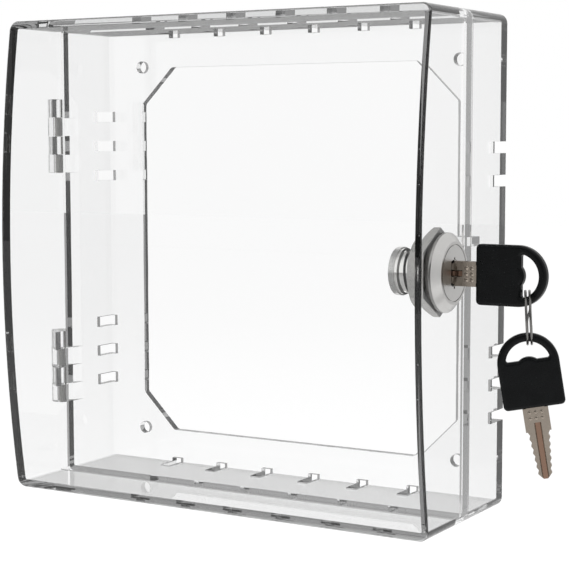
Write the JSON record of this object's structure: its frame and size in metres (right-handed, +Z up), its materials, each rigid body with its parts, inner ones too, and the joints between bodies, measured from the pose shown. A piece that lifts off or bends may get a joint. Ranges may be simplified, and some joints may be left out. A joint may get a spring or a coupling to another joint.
{
  "type": "thermostat lock box",
  "caption": "Clear wall box that guards a thermostat: vented base, hinged arched cover, cam lock with its key, and a spare key on a split ring.",
  "frame": {"origin": "on the wall, midway between the four wall-screw holes", "axes": "+X right as seen from the front, +Y back into the wall, +Z up"},
  "size_m": [0.1897, 0.0585, 0.15],
  "materials": {
    "clear_plastic": "clear, polished",
    "satin_nickel": "satin nickel plate",
    "steel": "bright zinc plate",
    "wafer_brass": "stamped",
    "key_metal": "worn nickel plate",
    "black_plastic": "fine grain"
  },
  "bodies": {
    "base": {"rear_base": "clear_plastic", "hinge_pin_upper": "steel", "hinge_pin_lower": "steel"},
    "cover": {"front_cover": "clear_plastic", "lock_barrel": "satin_nickel", "lock_nut": "satin_nickel", "lock_washer": "satin_nickel"},
    "plug": {"lock_plug": "satin_nickel", "wafer_1": "wafer_brass", "wafer_2": "wafer_brass", "wafer_3": "wafer_brass", "wafer_4": "wafer_brass", "wafer_5": "wafer_brass", "wafer_springs": "steel", "stop_washer": "satin_nickel", "lock_cam": "steel", "spring_washer": "steel", "cam_screw": "steel"},
    "key": {"key_blade": "key_metal", "key_head": "black_plastic"},
    "ring": {"split_ring": "steel"},
    "spare_key": {"spare_key_blade": "key_metal", "spare_key_head": "black_plastic"}
  },
  "joints": [
    {"name": "cover_swing", "type": "hinge", "parent": "base", "child": "cover", "pos_m": [-0.0775, -0.025, 0], "axis": [0, 0, -1], "range_deg": [0, 140]},
    {"name": "lock_turn", "type": "hinge", "parent": "cover", "child": "plug", "pos_m": [0.074, -0.0426, 0.0004], "axis": [1, 0, 0], "range_deg": [-78, 12]},
    {"name": "key_pull", "type": "slide", "parent": "plug", "child": "key", "axis": [1, 0, 0], "range_m": [0, 0.02]},
    {"name": "ring_swing", "type": "hinge", "parent": "key", "child": "ring", "pos_m": [0.09875, -0.0426, -0.0036], "axis": [0.3746, -0.9272, 0], "range_deg": [-15, 35]},
    {"name": "spare_key_swing", "type": "hinge", "parent": "ring", "child": "spare_key", "pos_m": [0.09951, -0.04229, -0.01818], "axis": [0.3746, -0.9272, 0], "range_deg": [-20, 25]}
  ]
}
